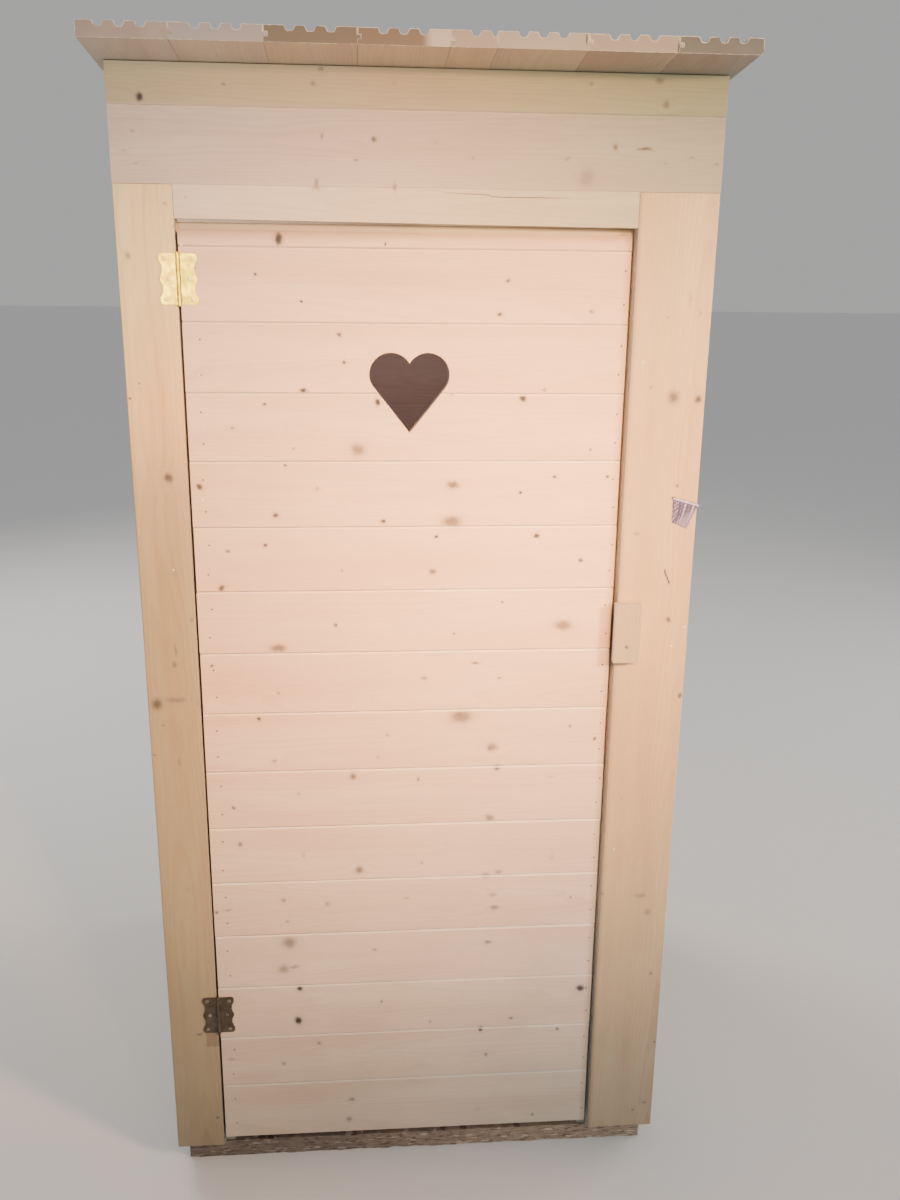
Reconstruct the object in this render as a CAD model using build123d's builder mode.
from build123d import *
from math import asin, atan2, cos, radians, sin, sqrt, tan
import os

os.makedirs("parts", exist_ok=True)

# A small wooden outhouse with one door. All lengths are in millimetres. X runs along the
# front, Y from the front to the back and Z upwards from the ground. The origin lies on the
# ground, under the middle of the roof.

# Walls: horizontal tongue-and-groove boards on a frame of squared timbers
wall_width = 1000.0
wall_depth = 1000.0
wall_top = 2118.0  # underside of the roof, over the front face
wall_bottom = 46.0  # lower ends of the boards, above the ground
cladding = 20.0  # thickness of the wall boards, the trims and the door boards
board_pitch = 117.6  # cover width of one wall or door board
joint_side = 3.5  # side of the square, turned by 45 degrees, that cuts a V-joint
stud = 45.0  # side of the frame timbers
arris = 1.5  # chamfer along planed timbers

# Floor: one thick panel, as wide as the frame
floor_thickness = 38.0

# Roof: thick tongue-and-groove boards from front to back, relief grooves upwards
roof_slope = 6.0  # degrees, falling to the back
roof_thickness = 24.5
roof_front_overhang = 115.0
roof_back_overhang = 80.0
roof_side_overhang = 16.0
roof_pitch = 139.0  # cover width of one roof board
roof_first_width = 133.5  # the first board has lost its grooved edge
roof_ripped_width = 71.5  # one board is ripped lengthways, through its middle groove
ripped_board_number = 5
relief_spacing = 30.5
relief_top = 16.0
relief_bottom = 9.0
relief_depth = 8.0
roof_tongue = 6.0  # thickness of the tongue
roof_tongue_reach = 5.5
roof_tongue_height = 11.0  # from the underside to the middle of the tongue
tongue_clearance = 0.3  # round every tongue
roof_corner_side = 7.0  # side of the turned square that cuts the last board's lower corner

# Front: two trims, three boards over the doorway
trim_left_width = 95.5
trim_right_width = 137.5
top_board = 64.3  # height of the ripped board under the roof
lintel_strip = 57.7  # height of the ripped board between the trims
front_tongue = 5.0  # thickness of a front board's tongue
front_tongue_reach = 6.0

# Door
hinge_gap = 5.0
latch_gap = 8.5
head_gap = 12.5
sill_gap = 28.5  # from the floor to the door
door_top_strip = 29.0  # the ripped board at the door's top
least_strip = 20.0  # no joint comes nearer to a lower edge than this
ledge_width = 90.0
ledge_thickness = 20.0
ledge_end_gap = 22.0
brace_foot = 265.0  # upright length of the brace's ends
stop_width = 20.0
stop_depth = 35.0
stop_gap = 5.0  # between the door and its stops

# Heart through the door
heart_width = 138.0
heart_height = 137.5
heart_notch = 18.0  # from the top of the lobes to the notch
heart_offset = 1.7  # of its middle line from the middle of the door
heart_drop = 194.7  # from the door's top to the top of the lobes

# Butt hinges with scalloped leaves
hinge_height = 81.5
leaf_thickness = 1.8
leaf_ear = 31.2  # reach of the corners from the pin's axis
leaf_waist = 26.4
leaf_bump = 30.9
ear_height = 11.0
waist_start = 19.3  # below the leaf's end
waist_height = 11.0  # half the height of the middle bump
barrel_radius = 3.3
pin_radius = 1.5
pin_clearance = 0.1
knuckles = 5
knuckle_gap = 0.4
leaf_radii = [6, 5, 8, 8, 5, 8, 8, 5, 6]  # round the leaf's corners, from the top
hinge_screw_radius = 1.9
hinge_screw_head = 3.5
ear_screw_reach = 21.7  # from the pin's axis to the screws near the leaf's ends
ear_screw_inset = 8.2
bump_screw_reach = 16.9
pin_head_radius = 3.0
pin_head_height = 2.6
pin_head_chamfer = 1.0
upper_hinge_drop = 77.5  # from the door's top to the middle of the hinge
lower_hinge_rise = 299.0  # from the door's lower edge to the middle of the hinge

# Wooden turn button on the right trim
button_width = 49.0
button_long_arm = 79.5
button_short_arm = 33.0
button_thickness = 18.0
button_gap = 3.0  # between the upright button and the door's edge
button_height = 1143.5  # of its screw above the ground
button_chamfer = 2.0
spacer_radius = 9.0
spacer_thickness = 5.0
screw_radius = 2.5
screw_clearance = 0.1
screw_grip = 16.0
head_radius = 4.2
head_height = 2.2
head_chamfer = 1.0
running_gap = 0.3  # in front of the button and behind it

# Places worked out from the sizes above
slope = radians(roof_slope)
half_width = wall_width / 2
frame_half = half_width - cladding
end_lean = roof_thickness * sin(slope)
roof_run = roof_front_overhang + wall_depth + roof_back_overhang
front = roof_front_overhang - (roof_run + end_lean) / 2
back = front + wall_depth
frame_front = front + cladding
frame_back = back - cladding
doorway_left = -half_width + trim_left_width
doorway_right = half_width - trim_right_width
top_joint = wall_top - top_board
middle_joint = top_joint - board_pitch
doorway_top = middle_joint - lintel_strip
door_left = doorway_left + hinge_gap
door_right = doorway_right - latch_gap
door_top = doorway_top - head_gap
door_bottom = floor_thickness + sill_gap
hinge_x = (doorway_left + door_left) / 2
hinge_y = front - barrel_radius


def roof_underside(y):
    """Height of the roof's underside at a distance y along the slope's run"""
    return wall_top - (y - front) * tan(slope)


underside = Plane(origin=(0, front, wall_top), x_dir=(1, 0, 0), z_dir=(0, sin(slope), cos(slope)))


def save(piece, name):
    """Name a finished piece and write it to its file"""
    piece.part.label = name
    export_step(piece.part, f"parts/{name}.step")


def timber(x_range, y_range, z_range, edges_along):
    """A squared timber between three ranges, its long arrises chamfered"""
    with BuildPart() as piece:
        with BuildSketch(Plane.XY.offset(z_range[0])):
            with Locations((sum(x_range) / 2, sum(y_range) / 2)):
                Rectangle(x_range[1] - x_range[0], y_range[1] - y_range[0])
        extrude(amount=z_range[1] - z_range[0])
        chamfer(piece.edges().filter_by(edges_along), arris)
    return piece


def joints_down(highest, lowest):
    """Heights of the board joints, from the highest down to a lower edge"""
    count = int((highest - lowest - least_strip) // board_pitch) + 1
    return [highest - k * board_pitch for k in range(count)]


def boards(section_plane, outer, low, high, joints, length, inwards=1):
    """A slab of horizontal boards: its upright section, extruded along the boards"""
    with BuildPart() as slab:
        with BuildSketch(section_plane):
            with Locations((outer + inwards * cladding / 2, (low + high) / 2)):
                Rectangle(cladding, high - low)
            with Locations(*[(outer, height) for height in joints]):
                Rectangle(joint_side, joint_side, rotation=45, mode=Mode.SUBTRACT)
        extrude(amount=length)
    return slab


# Floor panel, under the frame and inside the cladding
with BuildPart() as floor_panel:
    with BuildSketch(Plane.XY):
        with Locations((0, (frame_front + frame_back) / 2)):
            Rectangle(2 * frame_half, frame_back - frame_front)
    extrude(amount=floor_thickness)
    chamfer(floor_panel.edges().filter_by(Axis.Z), arris)
save(floor_panel, "floor_panel")

# Top plates across the front and the back, their upper faces planed to the roof's slope
front_plate_back = frame_front + stud
front_plate_low = roof_underside(front_plate_back) - stud
rear_plate_front = frame_back - stud
rear_plate_low = roof_underside(frame_back) - stud
for name, y_low, y_high, low in (
    ("top_plate_front", frame_front, front_plate_back, front_plate_low),
    ("top_plate_rear", rear_plate_front, frame_back, rear_plate_low),
):
    with BuildPart() as plate:
        with BuildSketch(Plane.YZ.offset(-frame_half)):
            with BuildLine():
                Polyline(
                    (y_low, low),
                    (y_high, low),
                    (y_high, roof_underside(y_high)),
                    (y_low, roof_underside(y_low)),
                    close=True,
                )
            make_face()
        extrude(amount=2 * frame_half)
    save(plate, name)

# Sloping rails along the tops of the side walls, between the plates
with BuildPart() as top_rail_left:
    with BuildSketch(Plane.YZ.offset(-frame_half)):
        with BuildLine():
            Polyline(
                (front_plate_back, roof_underside(front_plate_back)),
                (rear_plate_front, roof_underside(rear_plate_front)),
                (rear_plate_front, roof_underside(rear_plate_front) - stud),
                (front_plate_back, roof_underside(front_plate_back) - stud),
                close=True,
            )
        make_face()
    extrude(amount=stud)
save(top_rail_left, "top_rail_left")

with BuildPart() as top_rail_right:
    add(top_rail_left.part)
    mirror(about=Plane.YZ, mode=Mode.REPLACE)
save(top_rail_right, "top_rail_right")

# Posts: the front left one is wide enough to be the door's jamb as well
depth_front = (frame_front, front_plate_back)
depth_rear = (rear_plate_front, frame_back)
post_inner = frame_half - stud
front_post_height = (floor_thickness, front_plate_low)
rear_post_height = (floor_thickness, rear_plate_low)
save(timber((-frame_half, doorway_left), depth_front, front_post_height, Axis.Z), "post_front_left")
save(timber((post_inner, frame_half), depth_front, front_post_height, Axis.Z), "post_front_right")
save(timber((-frame_half, -post_inner), depth_rear, rear_post_height, Axis.Z), "post_rear_left")
save(timber((post_inner, frame_half), depth_rear, rear_post_height, Axis.Z), "post_rear_right")

# Right jamb and the head over the doorway
jamb_height = (floor_thickness, doorway_top)
head_height_range = (doorway_top, doorway_top + stud)
save(timber((doorway_right, doorway_right + stud), depth_front, jamb_height, Axis.Z), "jamb_right")
save(timber((doorway_left, post_inner), depth_front, head_height_range, Axis.X), "door_head")

# Stops behind the door's edges
stop_front = frame_front + stop_gap
stop_depth_range = (stop_front, stop_front + stop_depth)
side_stop_height = (floor_thickness, doorway_top - stop_width)
stop_left_edge = doorway_left + stop_width
stop_right_edge = doorway_right - stop_width
top_stop_height = (doorway_top - stop_width, doorway_top)
save(timber((doorway_left, stop_left_edge), stop_depth_range, side_stop_height, Axis.Z), "stop_left")
save(timber((stop_right_edge, doorway_right), stop_depth_range, side_stop_height, Axis.Z), "stop_right")
save(timber((doorway_left, doorway_right), stop_depth_range, top_stop_height, Axis.X), "stop_top")

# Side walls: boards from front to back, cut to the roof's slope
side_joints = joints_down(top_joint, wall_bottom)
section_front = Plane.XZ.offset(-frame_front)
wall_left = boards(section_front, -half_width, wall_bottom, wall_top, side_joints, frame_front - frame_back)
with BuildPart() as wall_left_cut:
    add(wall_left.part)
    split(bisect_by=underside, keep=Keep.BOTTOM)
save(wall_left_cut, "wall_left")

with BuildPart() as wall_right:
    add(wall_left_cut.part)
    mirror(about=Plane.YZ, mode=Mode.REPLACE)
save(wall_right, "wall_right")

# Back wall: boards over the ends of the side walls
section_side = Plane.YZ.offset(-half_width)
back_slab = boards(section_side, back, wall_bottom, wall_top, side_joints, wall_width, inwards=-1)
with BuildPart() as wall_back:
    add(back_slab.part)
    split(bisect_by=underside, keep=Keep.BOTTOM)
save(wall_back, "wall_back")

# Front boards: two of full width and a ripped one between the trims. Each tongue points
# upwards, into the groove of the board above.
front_boards = (
    ("front_board_top", -half_width, half_width, top_joint, wall_top, False, True),
    ("front_board_middle", -half_width, half_width, middle_joint, top_joint, True, True),
    ("front_board_lintel", doorway_left, doorway_right, doorway_top, middle_joint, True, False),
)
groove_width = front_tongue + 2 * tongue_clearance
groove_depth = front_tongue_reach + tongue_clearance
board_middle = front + cladding / 2
for name, x_low, x_high, low, high, has_tongue, has_groove in front_boards:
    with BuildPart() as front_board:
        with BuildSketch(Plane.YZ.offset(x_low)):
            with Locations((board_middle, (low + high) / 2)):
                Rectangle(cladding, high - low)
            if has_tongue:
                with Locations((board_middle, high + front_tongue_reach / 2)):
                    Rectangle(front_tongue, front_tongue_reach)
                with Locations((front, high)):
                    Rectangle(joint_side, joint_side, rotation=45, mode=Mode.SUBTRACT)
            if has_groove:
                with Locations((board_middle, low + groove_depth / 2)):
                    Rectangle(groove_width, groove_depth, mode=Mode.SUBTRACT)
                with Locations((front, low)):
                    Rectangle(joint_side, joint_side, rotation=45, mode=Mode.SUBTRACT)
        extrude(amount=x_high - x_low)
        split(bisect_by=underside, keep=Keep.BOTTOM)
    save(front_board, name)

# Trims beside the door
trim_depth = (front, frame_front)
trim_height = (wall_bottom, middle_joint)
trim_left = timber((-half_width, doorway_left), trim_depth, trim_height, Axis.Z)
save(trim_left, "trim_left")

button_pivot = door_right + button_gap + button_width / 2
with BuildPart() as trim_right:
    add(timber((doorway_right, half_width), trim_depth, trim_height, Axis.Z).part)
    with BuildSketch(Plane.XZ.offset(-front)):
        with Locations((button_pivot, button_height)):
            Circle(screw_radius + screw_clearance)
    extrude(amount=-cladding, mode=Mode.SUBTRACT)
save(trim_right, "trim_right")

# Roof boards, drawn on the plane of their front ends with the underside at zero
roof_half = half_width + roof_side_overhang
roof_front = front - roof_front_overhang
roof_length = roof_run / cos(slope)
roof_end = Plane(
    origin=(0, roof_front, roof_underside(roof_front)),
    x_dir=(1, 0, 0),
    z_dir=(0, -cos(slope), sin(slope)),
)
board_edges = [-roof_half, -roof_half + roof_first_width]
while board_edges[-1] < roof_half:
    step = roof_ripped_width if len(board_edges) == ripped_board_number else roof_pitch
    board_edges.append(min(board_edges[-1] + step, roof_half))
last_board = len(board_edges) - 1
relief_outline = [
    (-relief_top / 2, 0),
    (-relief_bottom / 2, -relief_depth),
    (relief_bottom / 2, -relief_depth),
    (relief_top / 2, 0),
]

for number in range(1, last_board + 1):
    left, right = board_edges[number - 1], board_edges[number]
    full_left = right - roof_pitch if number == 1 else left
    has_tongue = number not in (ripped_board_number, last_board)
    has_groove = number not in (1, ripped_board_number + 1)
    with BuildPart() as roof_board:
        with BuildSketch(roof_end):
            with Locations(((left + right) / 2, roof_thickness / 2)):
                Rectangle(right - left, roof_thickness)
            if has_tongue:
                with Locations((right + roof_tongue_reach / 2, roof_tongue_height)):
                    Rectangle(roof_tongue_reach, roof_tongue)
            if has_groove:
                slot_depth = roof_tongue_reach + tongue_clearance
                with Locations((left + slot_depth / 2, roof_tongue_height)):
                    Rectangle(slot_depth, roof_tongue + 2 * tongue_clearance, mode=Mode.SUBTRACT)
            with Locations((full_left + roof_pitch / 2, roof_thickness)):
                with GridLocations(relief_spacing, 0, 3, 1):
                    Polygon(*relief_outline, align=None, mode=Mode.SUBTRACT)
            with Locations((left, 0)):
                Rectangle(joint_side, joint_side, rotation=45, mode=Mode.SUBTRACT)
            with Locations((right, 0)):
                corner_side = roof_corner_side if number == last_board else joint_side
                Rectangle(corner_side, corner_side, rotation=45, mode=Mode.SUBTRACT)
        extrude(amount=-roof_length)
    save(roof_board, f"roof_board_{number}")

# Door: horizontal boards with the heart cut through
door_width = door_right - door_left
door_joints = joints_down(door_top - door_top_strip, door_bottom)
door_slab = boards(
    Plane.YZ.offset(door_left), front, door_bottom, door_top, door_joints, door_width
)

heart_half = heart_width / 2
lobe_radius = heart_half + heart_notch - sqrt(2 * heart_half * heart_notch)
lobe_offset = heart_half - lobe_radius
lobe_height = heart_height - lobe_radius
lobe_distance = sqrt(lobe_offset**2 + lobe_height**2)
side_length = sqrt(lobe_distance**2 - lobe_radius**2)
side_angle = atan2(lobe_height, lobe_offset) - asin(lobe_radius / lobe_distance)
side_end = (side_length * cos(side_angle), side_length * sin(side_angle))
lobe_corner = lobe_radius * sin(radians(45))
heart_x = (door_left + door_right) / 2 + heart_offset
heart_tip = door_top - heart_drop - heart_height

with BuildPart() as door_panel:
    add(door_slab.part)
    with BuildSketch(Plane(origin=(heart_x, front, heart_tip), x_dir=(1, 0, 0), z_dir=(0, -1, 0))):
        with BuildLine():
            Line((0, 0), side_end)
            ThreePointArc(
                side_end,
                (lobe_offset + lobe_corner, lobe_height + lobe_corner),
                (0, heart_height - heart_notch),
            )
            mirror(about=Plane.YZ)
        make_face()
    extrude(amount=-cladding, mode=Mode.SUBTRACT)
save(door_panel, "door_panel")

# Ledges and a diagonal brace hold the door's boards together from behind
ledge_depth = (frame_front, frame_front + ledge_thickness)
ledge_height = (door_bottom + ledge_end_gap, doorway_top - stop_width - stop_gap)
left_ledge_edge = stop_left_edge + stop_gap
right_ledge_edge = stop_right_edge - stop_gap
left_ledge = (left_ledge_edge, left_ledge_edge + ledge_width)
right_ledge = (right_ledge_edge - ledge_width, right_ledge_edge)
save(timber(left_ledge, ledge_depth, ledge_height, Axis.Z), "door_ledge_left")
save(timber(right_ledge, ledge_depth, ledge_height, Axis.Z), "door_ledge_right")

with BuildPart() as door_brace:
    with BuildSketch(Plane.XZ.offset(-frame_front)):
        with BuildLine():
            Polyline(
                (left_ledge[1], ledge_height[0]),
                (right_ledge[0], ledge_height[1] - brace_foot),
                (right_ledge[0], ledge_height[1]),
                (left_ledge[1], ledge_height[0] + brace_foot),
                close=True,
            )
        make_face()
    extrude(amount=-ledge_thickness)
    brace_back = door_brace.faces().sort_by(Axis.Y)[-1]
    chamfer(brace_back.edges().filter_by(Axis.Z, reverse=True), arris)
save(door_brace, "door_brace")


def hinge_leaf(height, side, own_knuckles):
    """One scalloped leaf, to the right (side 1) or the left (side -1) of the pin, with its knuckles"""
    half = hinge_height / 2
    rise = hinge_height / knuckles
    edge = [(0, half), (leaf_ear, half), (leaf_ear, half - ear_height), (leaf_waist, half - waist_start)]
    edge += [(leaf_waist, waist_height), (leaf_bump, 0)]
    edge += [(x, -z) for x, z in reversed(edge[:-1])]
    notch_width = barrel_radius + knuckle_gap
    screw_rise = half - ear_screw_inset
    screws = [(ear_screw_reach, screw_rise), (bump_screw_reach, 0), (ear_screw_reach, -screw_rise)]
    leaf_plane = Plane(origin=(hinge_x, front, height), x_dir=(1, 0, 0), z_dir=(0, -1, 0))
    with BuildPart() as leaf:
        with BuildSketch(leaf_plane):
            with BuildLine():
                FilletPolyline(*[(side * x, z) for x, z in edge], radius=leaf_radii)
                Line((0, -half), (0, half))
            make_face()
            for index in set(range(knuckles)) - set(own_knuckles):
                with Locations((side * notch_width / 2, (index + 0.5) * rise - half)):
                    Rectangle(notch_width, rise + knuckle_gap, mode=Mode.SUBTRACT)
        extrude(amount=leaf_thickness)
        for index in own_knuckles:
            with BuildSketch(Plane.XY.offset(height - half + index * rise + knuckle_gap / 2)):
                with Locations((hinge_x, hinge_y)):
                    Circle(barrel_radius)
            extrude(amount=rise - knuckle_gap)
        with BuildSketch(Plane.XY.offset(height - half)):
            with Locations((hinge_x, hinge_y)):
                Circle(pin_radius + pin_clearance)
        extrude(amount=hinge_height, mode=Mode.SUBTRACT)
        with Locations(leaf_plane.offset(leaf_thickness)):
            with Locations(*[(side * x, z) for x, z in screws]):
                CounterSinkHole(hinge_screw_radius, hinge_screw_head, leaf_thickness)
    return leaf


# Two butt hinges: the leaf on the trim has the odd knuckles, the door's leaf the even ones
for place, height in (
    ("upper", door_top - upper_hinge_drop),
    ("lower", door_bottom + lower_hinge_rise),
):
    save(hinge_leaf(height, -1, range(0, knuckles, 2)), f"hinge_{place}_trim_leaf")
    save(hinge_leaf(height, 1, range(1, knuckles, 2)), f"hinge_{place}_door_leaf")
    with BuildPart() as hinge_pin:
        with BuildSketch(Plane.XY.offset(height - hinge_height / 2)):
            with Locations((hinge_x, hinge_y)):
                Circle(pin_radius)
        extrude(amount=hinge_height)
        for end in (-1, 1):
            with BuildSketch(Plane.XY.offset(height + end * hinge_height / 2)):
                with Locations((hinge_x, hinge_y)):
                    Circle(pin_head_radius)
            extrude(amount=end * pin_head_height)
        heads = hinge_pin.edges().filter_by(GeomType.CIRCLE).sort_by(Axis.Z)
        chamfer([heads[0], heads[-1]], pin_head_chamfer)
    save(hinge_pin, f"hinge_{place}_pin")

# Turn button on its spacer and pivot screw
spacer_face = front - spacer_thickness
button_back = spacer_face - running_gap
button_face = button_back - button_thickness
head_back = button_face - running_gap

with BuildPart() as button_spacer:
    with BuildSketch(Plane.XZ.offset(-front)):
        with Locations((button_pivot, button_height)):
            Circle(spacer_radius)
            Circle(screw_radius + screw_clearance, mode=Mode.SUBTRACT)
    extrude(amount=spacer_thickness)
save(button_spacer, "button_spacer")

with BuildPart() as turn_button:
    with BuildSketch(Plane.XZ.offset(-button_back)):
        with Locations((button_pivot, button_height + (button_long_arm - button_short_arm) / 2)):
            Rectangle(button_width, button_long_arm + button_short_arm)
        with Locations((button_pivot, button_height)):
            Circle(screw_radius + screw_clearance, mode=Mode.SUBTRACT)
    extrude(amount=button_thickness)
    rim = turn_button.faces().sort_by(Axis.Y)[0].outer_wire().edges()
    chamfer(rim, button_chamfer)
save(turn_button, "turn_button")

with BuildPart() as button_screw:
    with BuildSketch(Plane.XZ.offset(-front - screw_grip)):
        with Locations((button_pivot, button_height)):
            Circle(screw_radius)
    extrude(amount=front + screw_grip - head_back)
    with BuildSketch(Plane.XZ.offset(-head_back)):
        with Locations((button_pivot, button_height)):
            Circle(head_radius)
    extrude(amount=head_height)
    head_rim = button_screw.faces().sort_by(Axis.Y)[0].edges()
    chamfer(head_rim, head_chamfer)
save(button_screw, "button_screw")
